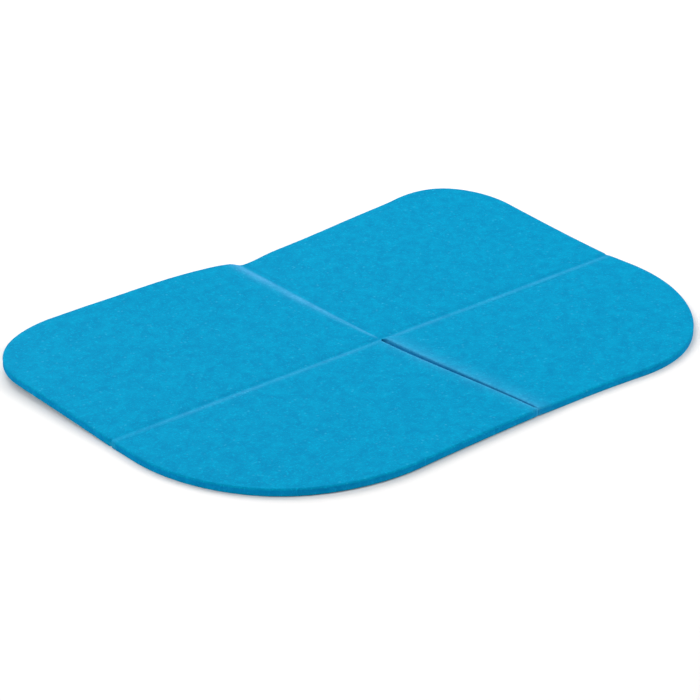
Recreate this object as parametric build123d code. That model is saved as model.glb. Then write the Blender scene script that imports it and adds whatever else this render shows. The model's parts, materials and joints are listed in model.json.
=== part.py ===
from build123d import *
import os
from math import cos, hypot, radians, sin

# Folding laptop cooling pad: four foam panels. Three pressed creases join them, and a slit
# parts the two front panels, which fold back over the two deeper back panels.
# Frame: +X along the long crease, +Y towards the back, +Z up, in millimetres.
# The origin is under the middle of the pad, on the table.

# Overall shape
pad_length = 380.0          # along X
front_depth = 124.2         # from the long crease to the furthest front edge
back_depth = 137.8          # from the long crease to the furthest back edge
front_waist = 122.7         # from the long crease to the front edge at the slit
back_waist = 128.7          # from the long crease to the back edge at the cross crease
front_corner_radius = 104.0
back_corner_radius = 50.0
back_tilt = 3.0             # degrees that the back half stands up off the table, as stored

# Layers, from the table up
pad_thickness = 4.5
base_sheet_thickness = 1.0
top_sheet_thickness = 1.0
core_thickness = pad_thickness - base_sheet_thickness - top_sheet_thickness

# Sealed heat-spreading inserts inside the foam cores
insert_thickness = 1.6
insert_margin = 20.0        # foam left round each insert
pocket_clearance = 0.2
pocket_depth = insert_thickness + pocket_clearance

# Creases and slit
crease_half_gap = 0.8       # half the width of a crease's groove, and of the slit
crossing_relief = 3.0       # the webs stop this far from the crossing
web_thickness = 2.0
web_lift = 0.4              # the webs stay clear of the table
web_end_inset = 1.5         # the webs stop this far inside the pad's edge

# Fold axes, above the table: the panels close with room for the raised back crease,
# and the cross fold closes over a long fold that is already shut
closed_gap = 4.5
long_axis_height = pad_thickness + closed_gap / 2
cross_axis_height = 2 * long_axis_height + 0.7

tilt_sine, tilt_cosine = sin(radians(back_tilt)), cos(radians(back_tilt))
back_reach = back_depth * tilt_cosine + long_axis_height * tilt_sine
crease_y = (front_depth - back_reach) / 2    # puts the middle of the bounding box at Y 0
flat = Pos(0, crease_y, 0)
tilted = Pos(0, crease_y, long_axis_height) * Rot(X=back_tilt) * Pos(0, 0, -long_axis_height)
cross_axis_point = tilted * Pos(0, back_waist / 2, cross_axis_height)
print("long fold axis: y", round(crease_y, 4), "z", long_axis_height)
print("cross fold axis through", cross_axis_point.position)

node_colours = {"top_sheet": "deepskyblue", "foam_core": "steelblue", "heat_insert": "silver",
                "base_sheet": "navy", "web": "dodgerblue"}

half_length = pad_length / 2
os.makedirs("parts", exist_ok=True)


def half_outline(depth, waist, corner_radius, inset):
    """Right half of one side of the pad, drawn inside its true edge by the inset."""
    length, depth, waist = half_length - inset, depth - inset, waist - inset
    corner_radius = corner_radius - inset
    centre_x = length - corner_radius
    centre_y = depth - corner_radius
    drop = waist - centre_y
    waist_radius = (centre_x**2 + drop**2 - corner_radius**2) / (2 * (corner_radius - drop))
    waist_centre_y = waist + waist_radius
    reach = corner_radius / hypot(centre_x, waist_centre_y - centre_y)
    tangent_point = (centre_x * (1 - reach), centre_y + (waist_centre_y - centre_y) * reach)
    side_end = (length, centre_y)
    edges = [
        Line((0, 0), (length, 0)),
        Line((length, 0), side_end),
        TangentArc(side_end, tangent_point, tangent=(0, 1)),
        TangentArc((0, waist), tangent_point, tangent=(1, 0)),
        Line((0, waist), (0, 0)),
    ]
    return make_face(Wire(edges))


def quadrant(side_x, side_y, inset=0):
    """Panel outline in one quadrant, cut back from both creases."""
    if side_y > 0:
        face = half_outline(back_depth, back_waist, back_corner_radius, inset)
    else:
        face = half_outline(front_depth, front_waist, front_corner_radius, inset)
    keep_from = crease_half_gap + inset
    keep = Pos(keep_from, keep_from) * Rectangle(
        pad_length, pad_length, align=(Align.MIN, Align.MIN))
    face = face & keep
    if side_x < 0:
        face = mirror(face, Plane.YZ)
    if side_y < 0:
        face = mirror(face, Plane.XZ)
    return face


def slab(face, bottom, thickness):
    """Flat sheet of the given outline between two heights."""
    return Pos(0, 0, bottom) * extrude(face, thickness, dir=(0, 0, 1)).solid()


def write(name, shape, place):
    shape = place * shape
    shape.label = name
    kind = next(key for key in node_colours if name.endswith(key))
    shape.color = Color(node_colours[kind])
    export_step(shape, f"parts/{name}.step")


def make_panel(name, side_x, side_y):
    """One laminated panel: base sheet, foam core with a pocket, heat insert and top sheet."""
    face = quadrant(side_x, side_y)
    place = tilted if side_y > 0 else flat
    core_bottom = base_sheet_thickness
    core_top = core_bottom + core_thickness
    insert_face = quadrant(side_x, side_y, insert_margin)
    pocket_face = quadrant(side_x, side_y, insert_margin - pocket_clearance)
    pocket_bottom = core_top - pocket_depth
    core = slab(face, core_bottom, core_thickness) - slab(pocket_face, pocket_bottom, pocket_depth)
    write(f"{name}_base_sheet", slab(face, 0, base_sheet_thickness), place)
    write(f"{name}_foam_core", core, place)
    write(f"{name}_heat_insert", slab(insert_face, pocket_bottom, insert_thickness), place)
    write(f"{name}_top_sheet", slab(face, core_top, top_sheet_thickness), place)


def make_web(name, start, end, place):
    """Thin strip of pressed foam along a crease, from start to end."""
    size_x = max(abs(end[0] - start[0]), 2 * crease_half_gap)
    size_y = max(abs(end[1] - start[1]), 2 * crease_half_gap)
    middle = ((start[0] + end[0]) / 2, (start[1] + end[1]) / 2)
    strip = Pos(middle[0], middle[1], web_lift) * Box(
        size_x, size_y, web_thickness, align=(Align.CENTER, Align.CENTER, Align.MIN))
    write(name, strip, place)


panels = {"front_left": (-1, -1), "front_right": (1, -1), "back_left": (-1, 1), "back_right": (1, 1)}
for panel_name, (side_x, side_y) in panels.items():
    make_panel(panel_name, side_x, side_y)

web_reach = half_length - web_end_inset
make_web("long_crease_left_web", (-web_reach, 0), (-crossing_relief, 0), flat)
make_web("long_crease_right_web", (crossing_relief, 0), (web_reach, 0), flat)
make_web("cross_crease_web", (0, crossing_relief), (0, back_waist - web_end_inset), tilted)
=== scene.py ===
import bpy
import json
import math
import numpy as np
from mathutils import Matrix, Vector, noise


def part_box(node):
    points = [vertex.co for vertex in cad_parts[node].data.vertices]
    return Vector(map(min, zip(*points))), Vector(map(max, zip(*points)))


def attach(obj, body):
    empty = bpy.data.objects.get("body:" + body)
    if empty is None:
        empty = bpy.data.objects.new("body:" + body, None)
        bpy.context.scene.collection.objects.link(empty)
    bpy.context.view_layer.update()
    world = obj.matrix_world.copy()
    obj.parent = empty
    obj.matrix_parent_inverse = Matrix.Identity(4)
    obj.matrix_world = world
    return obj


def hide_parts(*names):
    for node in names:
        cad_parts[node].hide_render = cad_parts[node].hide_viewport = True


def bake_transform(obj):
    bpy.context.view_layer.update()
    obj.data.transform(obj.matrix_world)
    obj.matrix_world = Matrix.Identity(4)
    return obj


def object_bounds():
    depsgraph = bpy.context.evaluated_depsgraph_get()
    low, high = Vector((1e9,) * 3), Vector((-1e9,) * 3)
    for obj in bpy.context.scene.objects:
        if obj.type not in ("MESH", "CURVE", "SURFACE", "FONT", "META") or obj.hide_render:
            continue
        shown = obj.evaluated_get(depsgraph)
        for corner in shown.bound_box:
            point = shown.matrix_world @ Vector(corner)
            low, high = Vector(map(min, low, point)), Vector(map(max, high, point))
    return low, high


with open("model.json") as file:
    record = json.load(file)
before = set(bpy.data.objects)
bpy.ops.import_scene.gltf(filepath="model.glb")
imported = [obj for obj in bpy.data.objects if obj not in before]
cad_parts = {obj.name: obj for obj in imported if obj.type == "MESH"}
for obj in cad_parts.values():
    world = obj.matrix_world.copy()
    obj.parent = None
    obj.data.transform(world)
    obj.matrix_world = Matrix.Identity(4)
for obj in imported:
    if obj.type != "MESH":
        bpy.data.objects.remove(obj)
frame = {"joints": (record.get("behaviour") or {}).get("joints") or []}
cadLow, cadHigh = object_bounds()
mm = 0.001

# lengths below are in mm from the crossing of the creases
webLow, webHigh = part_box("long_crease_left_web")
joints = {joint["name"]: joint for joint in frame["joints"]}
creaseY = joints["long_fold_left"]["pos_m"][1] / mm
hingeZ = joints["long_fold_left"]["pos_m"][2] / mm
crossAxis = joints["cross_fold"]["axis"]
tilt = math.atan2(abs(crossAxis[2]), abs(crossAxis[1]))   # how far the back half stands up
halfGap = (webHigh.y - webLow.y) / 2 / mm

pad = {
    "halfLength": cadHigh.x / mm,
    "thickness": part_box("front_left_top_sheet")[1].z / mm,
    "sheet": 1.0,                # top and base sheets
    "rim": 1.0,                  # how far in the edge's rounding starts
    "cell": 3.0,                 # mesh size on the open faces
}
sides = {
    "front": {"depth": -cadLow.y / mm + creaseY, "waist": 122.7, "corner": 104.0},
    "back": {"depth": 137.8, "waist": 128.7, "corner": 50.0},
}
strips = {   # half widths of the creased strips, and the small nick where each meets the pad's edge
    "longHalf": 5.0, "easeIn": 0.6, "longNick": 0.8, "longNickHalf": 0.9,
    "crossHalf": 10.0, "crossEaseIn": 1.0, "crossNick": 0.5, "crossNickHalf": 1.2,
}


def outlineArcs(side, inset):   # centres and radii of the corner arc and the waist arc
    half = pad["halfLength"] - inset
    radius = side["corner"] - inset
    waist = side["waist"] - inset
    cx, cy = half - radius, side["depth"] - inset - radius
    drop = waist - cy
    waistRadius = (cx**2 + drop**2 - radius**2) / (2 * (radius - drop))
    waistY = waist + waistRadius
    turn = math.atan2(waistY - cy, -cx)
    return half, radius, cx, cy, waistRadius, waistY, turn


def endCurve(side, inset, fromY, t):   # short end, from the long crease to the middle of the corner
    half, radius, cx, cy, waistRadius, waistY, turn = outlineArcs(side, inset)
    straight, bend = cy - fromY, radius * math.pi / 4
    s = t * (straight + bend)
    angle = np.maximum(s - straight, 0) / radius
    x = np.where(s < straight, half, cx + radius * np.cos(angle))
    y = np.where(s < straight, fromY + s, cy + radius * np.sin(angle))
    return np.stack([x, y], -1), np.stack([np.cos(angle), np.sin(angle)], -1)


def longCurve(side, inset, fromX, t):   # long edge, from the cross crease to the middle of the corner
    half, radius, cx, cy, waistRadius, waistY, turn = outlineArcs(side, inset)
    tangentX = cx + radius * math.cos(turn)
    startAngle = math.asin(fromX / waistRadius)
    waistLength = waistRadius * (math.asin(tangentX / waistRadius) - startAngle)
    s = t * (waistLength + radius * (turn - math.pi / 4))
    a = startAngle + np.minimum(s, waistLength) / waistRadius
    b = turn - np.maximum(s - waistLength, 0) / radius
    onWaist = s < waistLength
    x = np.where(onWaist, waistRadius * np.sin(a), cx + radius * np.cos(b))
    y = np.where(onWaist, waistY - waistRadius * np.cos(a), cy + radius * np.sin(b))
    nx = np.where(onWaist, -np.sin(a), np.cos(b))
    ny = np.where(onWaist, np.cos(a), np.sin(b))
    return np.stack([x, y], -1), np.stack([nx, ny], -1)


def waistLine(side, inset, x):   # the long edge's distance from the long crease near the cross crease
    half, radius, cx, cy, waistRadius, waistY, turn = outlineArcs(side, inset)
    return waistY - np.sqrt(waistRadius**2 - x**2)


def edgeDistance(side, x, y):   # how far a point lies inside the outline
    half, radius, cx, cy, waistRadius, waistY, turn = outlineArcs(side, 0)
    toCorner = np.where((x > cx) & (y > cy), radius - np.hypot(x - cx, y - cy), 1e3)
    toWaist = np.where(x < cx, np.hypot(x, y - waistY) - waistRadius, 1e3)
    return np.minimum(np.minimum(toCorner, toWaist), half - x)


shapes = {
    "humpHeight": 5.1, "humpAt": -50.0, "humpHalf": 52.0, "ridgeFall": 10.0,
    "sagDepth": 2.8, "sagFrom": 105.0, "sagReach": 60.0,
    "valleyDepth": 2.3, "valleyAt": 3.0, "valleyHalf": 14.0,
    "riseHeight": 3.4, "riseReach": 110.0, "cornerCurl": 3.0, "curlFrom": 125.0, "curlReach": 50.0,
    "frontCurl": 0.6, "frontCurlFrom": 60.0, "frontCurlTo": 25.0,
    "grooveDepth": 0.14, "grooveHalf": 1.2,
    "shoulderDrop": 0.16, "shoulderFront": 2.6, "shoulderBack": 1.6,
    "slitWide": 1.9, "slitNarrow": 0.75, "slitShut": 4.0, "slitRound": 0.5,
    "slitLip": 0.35, "slitLipHalf": 4.0,
    "slitShutBy": 0.85, "slitShutEase": 0.7, "slitOpens": 2.5, "slitStart": 2.0, "slitRoundHalf": 0.5,
    "slitWear": 0.3, "slitWearHalf": 1.3, "slitFollow": 9.0,
    "edgeDrop": 0.18, "edgeReach": 2.2,
    "waveHeight": 0.2, "waveSize": 60.0, "pebbleHeight": 0.03, "pebbleSize": 5.0,
}


def smooth(t):
    t = np.clip(t, 0, 1)
    return t * t * (3 - 2 * t)


def bump(d, half, power=2.0):
    return np.exp(-(np.abs(d) / half) ** power)


def waves(x, y):   # slow unevenness of a foam sheet, the same on every piece
    z = np.empty(x.size)
    for i, (px, py) in enumerate(zip(x.ravel(), y.ravel())):
        slow = noise.noise(Vector((px, py, 3.0)) / shapes["waveSize"])
        fine = noise.noise(Vector((px, py, 9.0)) / shapes["pebbleSize"])
        z[i] = shapes["waveHeight"] * slow + shapes["pebbleHeight"] * fine
    return z.reshape(x.shape)


def lift(x, y):   # how far the sheet bends away from flat, mostly along the back edge
    k = shapes
    back = np.clip(y / sides["back"]["depth"], 0, 1.1)
    front = np.clip(-y / sides["front"]["depth"], 0, 1.1)
    hump = k["humpHeight"] * back**3 * bump(x - k["humpAt"], k["humpHalf"]) * smooth(-x / k["ridgeFall"])
    sag = k["sagDepth"] * smooth((-x - k["sagFrom"]) / k["sagReach"])
    valley = k["valleyDepth"] * bump(x - k["valleyAt"], k["valleyHalf"])
    rise = k["riseHeight"] * smooth(x / k["riseReach"]) + k["cornerCurl"] * smooth(
        (x - k["curlFrom"]) / k["curlReach"])
    curl = k["frontCurl"] * front**1.5 * smooth((x + pad["halfLength"]) / k["frontCurlFrom"])
    curl = curl * smooth(1 - x / k["frontCurlTo"])
    return hump + (rise - sag - valley) * back**1.5 + curl


lean = {"shift": 4.0, "from": 8.0, "reach": 112.0, "half": 45.0}   # the slit drifts right as it runs out


def leanAt(y):
    return lean["shift"] * smooth((-y - lean["from"]) / lean["reach"])


def slitSide(y):   # half the slit's width: nothing at the crossing, widest just past it
    k = shapes
    out = np.maximum(-y, 0)
    waist = sides["front"]["waist"]
    share = smooth(out / waist)
    nearEnd = smooth((out - waist + k["slitShut"]) / (k["slitShutEase"] * k["slitShut"]))
    shut = 1 - k["slitShutBy"] * nearEnd   # the outer corners almost touch
    return (k["slitWide"] * (1 - share) + k["slitNarrow"] * share) * smooth(out / k["slitOpens"]) * shut


def topFace(x, y):
    k = shapes
    z = np.full(x.shape, pad["thickness"]) + lift(x, y) + waves(x, y)
    shoulder = np.where(y < 0, bump(y, k["shoulderFront"]), bump(y, k["shoulderBack"]))
    z -= k["shoulderDrop"] * shoulder + k["grooveDepth"] * bump(y, k["grooveHalf"], 1.5)
    inFront = smooth(-y / k["slitStart"])
    gapSide = np.maximum(np.abs(x - leanAt(y)) - slitSide(y), 0)
    z += inFront * k["slitLip"] * bump(gapSide, k["slitLipHalf"])
    z -= inFront * k["slitRound"] * bump(gapSide, k["slitRoundHalf"], 1.5)
    for sign, side in ((1, sides["back"]), (-1, sides["front"])):
        inside = edgeDistance(side, np.abs(x), sign * y)
        z -= np.where(sign * y > 0, k["edgeDrop"] * bump(inside, k["edgeReach"], 1.5), 0)
    return z


def baseFace(x, y):
    return lift(x, y)


def between(share):   # a level inside the sheet, share from 0 at the base to 1 at the top
    return lambda x, y: baseFace(x, y) * (1 - share) + topFace(x, y) * share


def stand(places):   # tips the back half up about the long fold's axis, smoothly across the crease
    x, y, z = places.T
    reach = strips["longHalf"] - strips["easeIn"]
    angle = tilt * smooth((y / reach + 1) / 2)
    high = z - hingeZ
    return np.column_stack([x, y * np.cos(angle) - high * np.sin(angle) + creaseY,
                            y * np.sin(angle) + high * np.cos(angle) + hingeZ])


def slab(name, grid, normals, upper, lower, profile, flip):
    # grid: (n, m, 2) plan points; normals: outward, zero on cut sides; profile: (out, share of height)
    n, m = grid.shape[:2]
    walk = ([(i, 0) for i in range(n - 1)] + [(n - 1, j) for j in range(m - 1)]
            + [(i, m - 1) for i in range(n - 1, 0, -1)] + [(0, j) for j in range(m - 1, 0, -1)])
    flat = grid.reshape(-1, 2)
    zUp, zDown = upper(flat[:, 0], flat[:, 1]), lower(flat[:, 0], flat[:, 1])
    places = [np.column_stack([flat, zUp]), np.column_stack([flat, zDown])]
    ringFirst = 2 * n * m
    edge = np.array([grid[i, j] for i, j in walk])
    out = np.array([normals[i, j] for i, j in walk])
    topZ, lowZ = upper(edge[:, 0], edge[:, 1]), lower(edge[:, 0], edge[:, 1])
    for reach, share in profile:
        xy = edge + out * reach
        places.append(np.column_stack([xy, lowZ + (topZ - lowZ) * share]))
    verts = np.vstack(places)
    count = len(walk)
    faces = []
    for i in range(n - 1):
        for j in range(m - 1):
            a, b, c, d = i * m + j, (i + 1) * m + j, (i + 1) * m + j + 1, i * m + j + 1
            faces.append((a, b, c, d))
            faces.append((d + n * m, c + n * m, b + n * m, a + n * m))
    loops = [[i * m + j for i, j in walk]]
    loops += [list(range(ringFirst + k * count, ringFirst + (k + 1) * count)) for k in range(len(profile))]
    loops.append([i * m + j + n * m for i, j in walk])
    for above, below in zip(loops, loops[1:]):
        for k in range(count):
            q = (k + 1) % count
            faces.append((above[k], below[k], below[q], above[q]))
    if flip:
        faces = [f[::-1] for f in faces]
    mesh = bpy.data.meshes.new(name)
    mesh.from_pydata((stand(verts) * mm).tolist(), [], faces)
    mesh.validate()
    writeMarks(mesh, verts)
    mesh.shade_smooth()
    mesh.set_sharp_from_angle(angle=math.radians(38))
    piece = bpy.data.objects.new(name, mesh)
    bpy.context.scene.collection.objects.link(piece)
    return piece


# sizes and strengths of the painted highlight and painted shade along the creases and the slit
marks = {
    "ridgeHalf": 0.9, "ridgeWiden": 5.0, "ridgeAt": -1.0, "ridgeMove": -5.0,
    "bandAt": -2.2, "bandHalf": 1.7, "shadeAt": 1.9, "shadeHalf": 1.5,
    "lipHalf": 1.5, "paleRight": 8.0, "paleLeft": 5.0,
    "ridgeGlow": 0.45, "ridgeGlowGain": 0.5, "ridgeStart": 4.0, "ridgeRight": 0.55,
    "bandGlow": 0.32, "fadeLeast": 0.45, "fadeReach": 50.0,
    "paleRightGlow": 0.22, "paleLeftGlow": 0.2, "lipRightGlow": 0.3, "lipLeftGlow": 0.5, "slitGlowStart": 3.0,
    "shadeDepth": 0.13, "ridgeShade": 0.2, "ridgeShadeAt": 1.8, "ridgeShadeHalf": 1.3,
}


def writeMarks(mesh, rest):   # where the foam was at rest, and the painted highlight and painted shade along the creases, for the materials
    x, y, z = rest.T
    k = marks
    backShare = np.clip(y / sides["back"]["depth"], 0, 1)
    # painted highlight along the back ridge of the cross crease, widest at the back edge
    ridgeSide = x - k["ridgeAt"] - k["ridgeMove"] * backShare**0.6
    ridgeHalf = k["ridgeHalf"] + k["ridgeWiden"] * backShare
    ridge = np.where(ridgeSide < 0, bump(ridgeSide, ridgeHalf),
                     bump(ridgeSide, k["ridgeRight"] * ridgeHalf, 3.0))
    glow = (k["ridgeGlow"] + k["ridgeGlowGain"] * backShare**0.5) * smooth(y / k["ridgeStart"]) * ridge
    # painted highlight on the front shoulder of the long crease, weaker towards the left end
    fade = k["fadeLeast"] + (1 - k["fadeLeast"]) * smooth((x + pad["halfLength"]) / k["fadeReach"])
    glow = np.maximum(glow, k["bandGlow"] * fade * bump(y - k["bandAt"], k["bandHalf"]))
    # painted highlight on the slit's lips, and a paler band beside the slit
    fromSlit = x - leanAt(y)
    gapSide = np.maximum(np.abs(fromSlit) - slitSide(y), 0)
    pale = np.where(fromSlit > 0, k["paleRightGlow"] * bump(gapSide, k["paleRight"]),
                    k["paleLeftGlow"] * bump(gapSide, k["paleLeft"]))
    lip = np.where(fromSlit > 0, k["lipRightGlow"], k["lipLeftGlow"]) * bump(gapSide, k["lipHalf"])
    glow = np.maximum(glow, (pale + lip) * smooth(-y / k["slitGlowStart"]))
    # painted shade in the long crease just behind its line, and beside the back ridge
    shade = k["shadeDepth"] * bump(y - k["shadeAt"], k["shadeHalf"]) * fade
    besideRidge = k["ridgeShade"] * bump(x - k["ridgeShadeAt"], k["ridgeShadeHalf"])
    shade = np.maximum(shade, besideRidge * backShare**0.5)
    values = {"creasePaleAndHighlight": glow, "creaseShade": shade}
    for name, value in values.items():
        layer = mesh.attributes.new(name, "FLOAT", "POINT")
        layer.data.foreach_set("value", value.astype(np.float32))
    layer = mesh.attributes.new("restPlace", "FLOAT_VECTOR", "POINT")
    layer.data.foreach_set("vector", (rest * mm).astype(np.float32).ravel())


def spread(length, near=(), far=()):   # shares from 0 to 1, close together at the ends that are given
    start, end = list(near) or [0.0], [length - d for d in reversed(far)] or [length]
    middle = np.linspace(start[-1], end[0], max(3, round((end[0] - start[-1]) / pad["cell"])))
    return np.array(start[:-1] + list(middle) + end[1:]) / length


insert = {"margin": 20.0, "rim": 0.4, "bottom": 1.7, "top": 3.3}   # heat insert, heights above the base
rims = {
    "insert": [(0.7, 0.95), (1.0, 0.7), (1.0, 0.3), (0.7, 0.05)],
    "top": [(0.3, 0.95), (0.62, 0.8), (0.86, 0.52), (0.97, 0.25), (1.0, 0.0)],
    "core": [(1.0, 1.0), (0.93, 0.7), (0.9, 0.5), (0.93, 0.3), (1.0, 0.0)],
    "base": [(1.0, 1.0), (1.0, 0.4), (0.94, 0.15), (0.8, 0.0)],
}
sheetShare = pad["sheet"] / pad["thickness"]
layers = {
    "top_sheet": (between(1 - sheetShare), topFace, rims["top"], "foam_sheet"),
    "foam_core": (between(sheetShare), between(1 - sheetShare), rims["core"], "foam_core"),
    "base_sheet": (baseFace, between(sheetShare), rims["base"], "foam_sheet"),
}
wholeRim = ([(out, 1 - sheetShare * (1 - share)) for out, share in rims["top"]]
            + [(out, sheetShare + (1 - 2 * sheetShare) * share) for out, share in rims["core"][1:-1]]
            + [(out, sheetShare * share) for out, share in rims["base"]])
fineEdge = (0, 0.5, 1.1, 2.0, 3.4, 5.5)
slitEdge = (0, 0.15, 0.35, 0.6, 0.9, 1.3, 1.9, 2.8, 4.2, 6.5)


def panelGrid(side, fromX, fromY, near, rim):
    far = pad["halfLength"] - rim
    u = spread(far - fromX, near, fineEdge)
    v = spread(waistLine(side, rim, fromX) - fromY, (), fineEdge)
    depth = waistLine(side, rim, fromX)
    right, endNormals = endCurve(side, rim, fromY, v)
    top, longNormals = longCurve(side, rim, fromX, u)
    low = np.column_stack([fromX + (far - fromX) * u, np.full(len(u), fromY)])
    left = np.column_stack([np.full(len(v), fromX), fromY + (depth - fromY) * v])
    uu, vv = u[:, None, None], v[None, :, None]
    grid = (1 - vv) * low[:, None] + vv * top[:, None] + (1 - uu) * left[None] + uu * right[None]
    grid -= ((1 - uu) * (1 - vv) * low[0] + uu * (1 - vv) * low[-1]
             + (1 - uu) * vv * top[0] + uu * vv * top[-1])
    normals = np.zeros(grid.shape)
    normals[-1] = endNormals
    normals[:, -1] = longNormals
    return grid, normals


settled = {   # how the two front panels' corners spread, where they lie looser than the cut shape
    "front_left": {"at": 164.0, "half": 42.0, "out": 1.8, "forward": 2.4},
    "front_right": {"at": 125.0, "half": 55.0, "out": 1.0, "forward": 4.0},
}


def settle(grid, spreadOut):
    share = bump(grid[..., 0] - spreadOut["at"], spreadOut["half"]) * grid[..., 1] / sides["front"]["depth"]
    return grid + np.stack([spreadOut["out"] * share, spreadOut["forward"] * share], -1)


def slitLean(places):
    x, y = places[..., 0], places[..., 1]
    return np.stack([leanAt(y) * bump(x, lean["half"]), np.zeros(x.shape)], -1)


foamPieces = []


def keep(piece, body, node, slotName):
    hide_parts(node)
    foamPieces.append((piece, slotName))


def makePanel(body):
    row, column = body.split("_")
    side = sides[row]
    sx, sy = (-1 if column == "left" else 1), (-1 if row == "front" else 1)
    fromX = halfGap if row == "front" else strips["crossHalf"]
    grid, normals = panelGrid(side, fromX, strips["longHalf"], slitEdge if row == "front" else (), pad["rim"])
    signs = np.array([sx, sy])
    if row == "front":   # the outer corner at the slit is a little worn
        normals *= (1 - shapes["slitWear"] * bump(grid[..., :1] - halfGap, shapes["slitWearHalf"]))
        follow = bump(grid[..., 0] - halfGap, shapes["slitFollow"])
        grid[..., 0] += (slitSide(-grid[..., 1]) - halfGap) * follow
        grid = settle(grid, settled[body]) + slitLean(grid * signs) * signs
    for layer, (lower, upper, rim, slotName) in layers.items():
        piece = slab(f"{body}_{layer}_foam", grid * signs, normals * signs, upper, lower, rim, sx * sy < 0)
        keep(piece, body, f"{body}_{layer}", slotName)
        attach(piece, body)
    inside = insert["margin"] + halfGap
    grid, normals = panelGrid(side, inside, inside, (), insert["margin"] + insert["rim"])
    normals *= insert["rim"]
    upper, lower = between(insert["top"] / pad["thickness"]), between(insert["bottom"] / pad["thickness"])
    piece = slab(f"{body}_heat_insert_film", grid * signs, normals * signs, upper, lower, rims["insert"],
                 sx * sy < 0)
    keep(piece, body, f"{body}_heat_insert", "heat_insert")
    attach(piece, body)


def makeLongStrip(name, sx, backBody):
    half, rim = strips["longHalf"], pad["rim"]
    across = np.array([0.12, 0.25, 0.4, 0.6, 0.85, 1.2, 1.7, 2.4, 3.4, half])
    y = np.concatenate([-across[::-1], [0], across])
    far = pad["halfLength"] - rim
    u = spread(far, slitEdge, fineEdge)
    start = slitSide(y)
    x = start[None] + (far - start[None]) * u[:, None]
    grid = np.stack([x * sx, np.broadcast_to(y, x.shape)], -1)
    normals = np.zeros(grid.shape)
    normals[-1, :, 0] = sx * (1 - strips["longNick"] * bump(y, strips["longNickHalf"]))
    piece = slab(name + "_foam", grid, normals, topFace, baseFace, wholeRim, sx < 0)
    keep(piece, backBody, name, "foam_sheet")
    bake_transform(piece)


def makeCrossStrip(name, leftBody):
    half, rim = strips["crossHalf"], pad["rim"]
    across = np.array([0.35, 0.7, 1.1, 1.6, 2.2, 3.0, 4.0, 5.4, 7.2, half])
    x = np.concatenate([-across[::-1], [0], across])
    depth = waistLine(sides["back"], rim, x)
    fromY = strips["longHalf"]
    v = spread(depth.min() - fromY, (), fineEdge)
    y = fromY + (depth - fromY)[:, None] * v[None]
    grid = np.stack([np.broadcast_to(x[:, None], y.shape), y], -1)
    normals = np.zeros(grid.shape)
    normals[:, -1, 1] = 1 - strips["crossNick"] * bump(x, strips["crossNickHalf"])
    piece = slab(name + "_foam", grid, normals, topFace, baseFace, wholeRim, False)
    keep(piece, leftBody, name, "foam_sheet")
    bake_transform(piece)


for body in ("front_left", "front_right", "back_left", "back_right"):
    makePanel(body)
makeLongStrip("long_crease_left_web", -1, "back_left")
makeLongStrip("long_crease_right_web", 1, "back_right")
makeCrossStrip("cross_crease_web", "back_left")
print("foam pieces:", len(foamPieces))


def tone(red, green, blue):   # screen colour to the shader's own
    def linear(c):
        c /= 255
        return c / 12.92 if c <= 0.04045 else ((c + 0.055) / 1.055) ** 2.4
    return (linear(red), linear(green), linear(blue), 1)


def newGroup(name, inputs, outputs):
    group = bpy.data.node_groups.new(name, "ShaderNodeTree")
    for label, kind, value in inputs:
        socket = group.interface.new_socket(name=label, in_out="INPUT", socket_type=kind)
        if value is not None:
            socket.default_value = value
    for label, kind in outputs:
        group.interface.new_socket(name=label, in_out="OUTPUT", socket_type=kind)
    return group, group.nodes.new("NodeGroupInput"), group.nodes.new("NodeGroupOutput")


def add(tree, kind, settings=None, **links):   # makes a node, sets its sockets or links them
    node = tree.nodes.new(kind)
    for key, value in (settings or {}).items():
        setattr(node, key, value)
    for key, value in links.items():
        socket = node.inputs[int(key[1:])] if key[0] == "i" and key[1:].isdigit() else node.inputs[key]
        if isinstance(value, bpy.types.NodeSocket):
            tree.links.new(value, socket)
        else:
            socket.default_value = value
    return node


def maths(tree, operation, a, b=0.0, clamp=False):
    return add(tree, "ShaderNodeMath", {"operation": operation, "use_clamp": clamp}, i0=a, i1=b).outputs[0]


def ramp(tree, value, low, high, outLow=0.0, outHigh=1.0):
    node = add(tree, "ShaderNodeMapRange", {"clamp": True}, Value=value)
    for label, number in (("From Min", low), ("From Max", high), ("To Min", outLow), ("To Max", outHigh)):
        node.inputs[label].default_value = number
    return node.outputs["Result"]


def mixColour(tree, factor, a, b, blendType="MIX"):
    node = tree.nodes.new("ShaderNodeMix")
    node.data_type, node.blend_type = "RGBA", blendType
    for socket, value in ((node.inputs[0], factor), (node.inputs[6], a), (node.inputs[7], b)):
        if isinstance(value, bpy.types.NodeSocket):
            tree.links.new(value, socket)
        else:
            socket.default_value = value
    return node.outputs[2]


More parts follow.
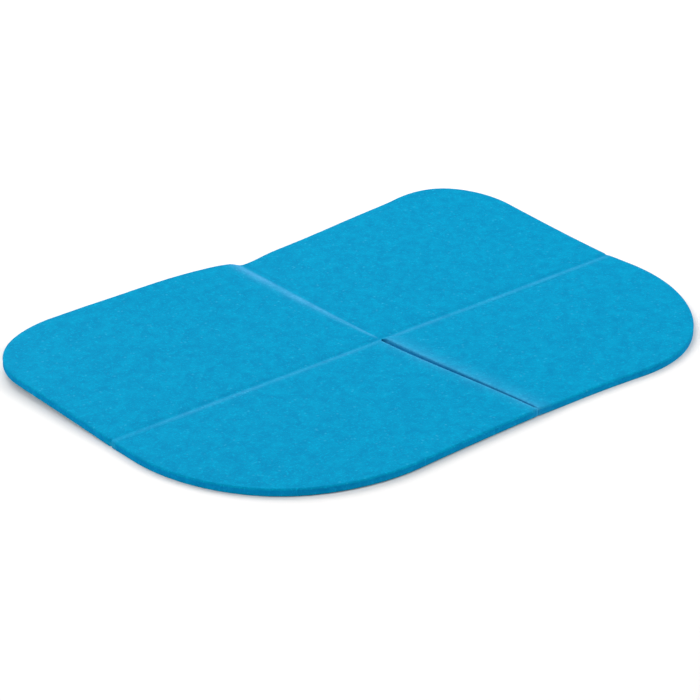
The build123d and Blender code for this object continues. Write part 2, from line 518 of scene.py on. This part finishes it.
def makeFoamGrain():   # felted closed-cell skin: soft blotches, short fibres, small light specks
    group, given, result = newGroup("foamGrain", [
        ("Place", "NodeSocketVector", None), ("Blotch Scale", "NodeSocketFloat", 150.0),
        ("Fibre Scale", "NodeSocketFloat", 420.0), ("Speck Scale", "NodeSocketFloat", 320.0),
    ], [("Blotch", "NodeSocketFloat"), ("Fibre", "NodeSocketFloat"), ("Speck", "NodeSocketFloat"),
        ("Height", "NodeSocketFloat")])
    place = given.outputs["Place"]
    blotch = add(group, "ShaderNodeTexNoise", Vector=place, Scale=given.outputs["Blotch Scale"], Detail=3.0,
                 Roughness=0.6).outputs[0]
    strands = []
    for stretch, turn in (((1.0, 3.2, 1.0), 0.25), ((3.2, 1.0, 1.0), -0.2)):
        mapped = add(group, "ShaderNodeMapping", Vector=place, Scale=stretch,
                     Rotation=(0, 0, turn)).outputs[0]
        strands.append(add(group, "ShaderNodeTexNoise", Vector=mapped, Scale=given.outputs["Fibre Scale"],
                           Detail=2.0, Roughness=0.55, Distortion=1.2).outputs[0])
    fibre = maths(group, "MULTIPLY", maths(group, "ADD", strands[0], strands[1]), 0.5)
    cells = add(group, "ShaderNodeTexVoronoi", Vector=place, Scale=given.outputs["Speck Scale"]).outputs[0]
    rare = add(group, "ShaderNodeTexNoise", Vector=place, Scale=260.0, Detail=1.0).outputs[0]
    speck = maths(group, "MULTIPLY", ramp(group, cells, 0.3, 0.12), ramp(group, rare, 0.54, 0.62))
    height = maths(group, "ADD", maths(group, "MULTIPLY", fibre, 0.7), maths(group, "MULTIPLY", blotch, 0.5))
    for label, value in (("Blotch", blotch), ("Fibre", fibre), ("Speck", speck), ("Height", height)):
        group.links.new(value, result.inputs[label])
    return group


def makeCreasePaintedLight():   # turns the painted crease highlight and painted crease shade into uneven masks
    group, given, result = newGroup("creasePaintedLight", [
        ("Place", "NodeSocketVector", None), ("Glow", "NodeSocketFloat", 0.0),
        ("Shade", "NodeSocketFloat", 0.0), ("Fibre", "NodeSocketFloat", 0.5),
    ], [("Light", "NodeSocketFloat"), ("Dark", "NodeSocketFloat")])
    patch = add(group, "ShaderNodeTexNoise", Vector=given.outputs["Place"], Scale=95.0, Detail=2.0).outputs[0]
    uneven = maths(group, "MULTIPLY", ramp(group, patch, 0.3, 0.62, 0.55, 1.0),
                   ramp(group, given.outputs["Fibre"], 0.4, 0.7, 0.7, 1.1))
    light = maths(group, "MULTIPLY", given.outputs["Glow"], uneven, True)
    dark = maths(group, "MULTIPLY", given.outputs["Shade"], ramp(group, patch, 0.3, 0.6, 0.7, 1.0), True)
    group.links.new(light, result.inputs["Light"])
    group.links.new(dark, result.inputs["Dark"])
    return group


foamGrain, creasePaintedLight = makeFoamGrain(), makeCreasePaintedLight()

# light and dark are the colours of the painted crease highlight and the painted crease shade
foamLooks = {
    "foam_sheet": {"base": tone(0, 139, 180), "soft": tone(4, 154, 194), "deep": tone(0, 126, 170),
                   "speck": tone(60, 172, 208), "light": tone(96, 174, 224), "dark": tone(0, 84, 136),
                   "roughness": 0.82, "bump": 0.35},
    "foam_core": {"base": tone(2, 130, 182), "soft": tone(10, 140, 192), "deep": tone(0, 118, 170),
                  "speck": tone(26, 146, 196), "light": tone(60, 160, 210), "dark": tone(0, 84, 136),
                  "roughness": 0.88, "bump": 0.25},
}


def newMaterial(name):
    material = bpy.data.materials.new(name)
    material.use_nodes = True
    tree = material.node_tree
    tree.nodes.clear()
    shader = tree.nodes.new("ShaderNodeBsdfPrincipled")
    output = tree.nodes.new("ShaderNodeOutputMaterial")
    tree.links.new(shader.outputs[0], output.inputs[0])
    return material, tree, shader


def makeFoam(name, look):
    material, tree, shader = newMaterial(name)
    place = add(tree, "ShaderNodeAttribute", {"attribute_name": "restPlace"}).outputs["Vector"]
    glow = add(tree, "ShaderNodeAttribute", {"attribute_name": "creasePaleAndHighlight"}).outputs["Fac"]
    shade = add(tree, "ShaderNodeAttribute", {"attribute_name": "creaseShade"}).outputs["Fac"]
    grain = add(tree, "ShaderNodeGroup", {"node_tree": foamGrain}, Place=place).outputs
    paintedCrease = add(tree, "ShaderNodeGroup", {"node_tree": creasePaintedLight}, Place=place, Glow=glow, Shade=shade,
                  Fibre=grain["Fibre"]).outputs
    colour = mixColour(tree, ramp(tree, grain["Blotch"], 0.35, 0.65), look["deep"], look["base"])
    colour = mixColour(tree, ramp(tree, grain["Fibre"], 0.46, 0.36, 0.0, 0.8), colour, look["deep"])
    colour = mixColour(tree, ramp(tree, grain["Fibre"], 0.52, 0.64, 0.0, 1.0), colour, look["soft"])
    colour = mixColour(tree, maths(tree, "MULTIPLY", grain["Speck"], 0.3), colour, look["speck"])
    # painted crease highlight, then painted crease shade, mixed into the base colour
    colour = mixColour(tree, maths(tree, "MULTIPLY", paintedCrease["Light"], 0.62), colour, look["light"])
    colour = mixColour(tree, paintedCrease["Dark"], colour, look["dark"])
    tree.links.new(colour, shader.inputs["Base Color"])
    tree.links.new(ramp(tree, grain["Fibre"], 0.4, 0.7, look["roughness"] - 0.06, look["roughness"] + 0.08),
                   shader.inputs["Roughness"])
    bumpNode = add(tree, "ShaderNodeBump", Height=grain["Height"], Strength=look["bump"], Distance=0.0006)
    tree.links.new(bumpNode.outputs[0], shader.inputs["Normal"])
    shader.inputs["Specular IOR Level"].default_value = 0.02
    return material


def makeFoil():
    material, tree, shader = newMaterial("insertFoil")
    place = tree.nodes.new("ShaderNodeTexCoord").outputs["Object"]
    creases = add(tree, "ShaderNodeTexVoronoi", {"feature": "DISTANCE_TO_EDGE"}, Vector=place, Scale=90.0)
    crinkle = ramp(tree, creases.outputs[0], 0.0, 0.12)
    # the foil is painted darker along its crinkle lines: painted shade in the crinkles
    colour = mixColour(tree, crinkle, tone(150, 156, 162), tone(205, 208, 212))
    tree.links.new(colour, shader.inputs["Base Color"])
    tree.links.new(ramp(tree, crinkle, 0, 1, 0.5, 0.28), shader.inputs["Roughness"])
    shader.inputs["Metallic"].default_value = 0.85
    bumpNode = add(tree, "ShaderNodeBump", Height=crinkle, Strength=0.3, Distance=0.0004)
    tree.links.new(bumpNode.outputs[0], shader.inputs["Normal"])
    return material


def makeFloor():
    material, tree, shader = newMaterial("paleFloor")
    shader.inputs["Base Color"].default_value = (0.8, 0.79, 0.78, 1)
    shader.inputs["Roughness"].default_value = 0.9
    shader.inputs["Specular IOR Level"].default_value = 0.1
    return material


foams = {name: makeFoam(name.replace("_", " ").title().replace(" ", ""), look)
         for name, look in foamLooks.items()}
foams["heat_insert"] = makeFoil()
for piece, slotName in foamPieces:
    piece.data.materials.append(foams[slotName])
print("materials made")

studio = {"floorSize": 6.0, "floorDrop": -0.00005, "world": 0.4}
lamps = {
    "key": {"place": (0.3, 1.2, 1.1), "size": 1.6, "power": 25.5},
    "left": {"place": (-1.5, 0.1, 0.9), "size": 1.4, "power": 15.0},
    "front": {"place": (1.2, -1.0, 0.9), "size": 1.2, "power": 20.0},
}
cameraSet = {"azimuth": -41.01, "elevation": 25.45, "distance": 1.2395, "target": (-17.66, 7.14),
             "focal": 3.0896}

half = studio["floorSize"] / 2
floorMesh = bpy.data.meshes.new("floor")
floorCorners = [(-half, -half, 0), (half, -half, 0), (half, half, 0), (-half, half, 0)]
floorMesh.from_pydata(floorCorners, [], [(0, 1, 2, 3)])
floor = bpy.data.objects.new("floor", floorMesh)
floor.location.z = studio["floorDrop"]
bpy.context.scene.collection.objects.link(floor)
floor.data.materials.append(makeFloor())

world = bpy.data.worlds.new("studio")
bpy.context.scene.world = world
world.use_nodes = True
world.node_tree.nodes["Background"].inputs[0].default_value = (1, 1, 1, 1)
world.node_tree.nodes["Background"].inputs[1].default_value = studio["world"]


def makeLight(name, place, size, power):
    light = bpy.data.lights.new(name, "AREA")
    light.shape, light.size, light.energy = "DISK", size, power
    holder = bpy.data.objects.new(name, light)
    holder.location = place
    holder.rotation_euler = (-Vector(place)).to_track_quat("-Z", "Y").to_euler()
    bpy.context.scene.collection.objects.link(holder)


for name, lamp in lamps.items():
    makeLight(name, lamp["place"], lamp["size"], lamp["power"])

azimuth, elevation = math.radians(cameraSet["azimuth"]), math.radians(cameraSet["elevation"])
back = Vector((math.sin(azimuth) * math.cos(elevation), -math.cos(azimuth) * math.cos(elevation),
               math.sin(elevation)))
camera = bpy.data.objects.new("camera", bpy.data.cameras.new("camera"))
camera.data.sensor_width = 36
camera.data.lens = camera.data.sensor_width * cameraSet["focal"]
target = Vector((cameraSet["target"][0] * mm, (cameraSet["target"][1] + creaseY) * mm, 0))
camera.location = target + back * cameraSet["distance"]
camera.rotation_mode = "QUATERNION"
camera.rotation_quaternion = (-back).to_track_quat("-Z", "Y")
bpy.context.scene.collection.objects.link(camera)
bpy.context.scene.camera = camera
bpy.context.scene.view_settings.view_transform = "Standard"
print("stage made")
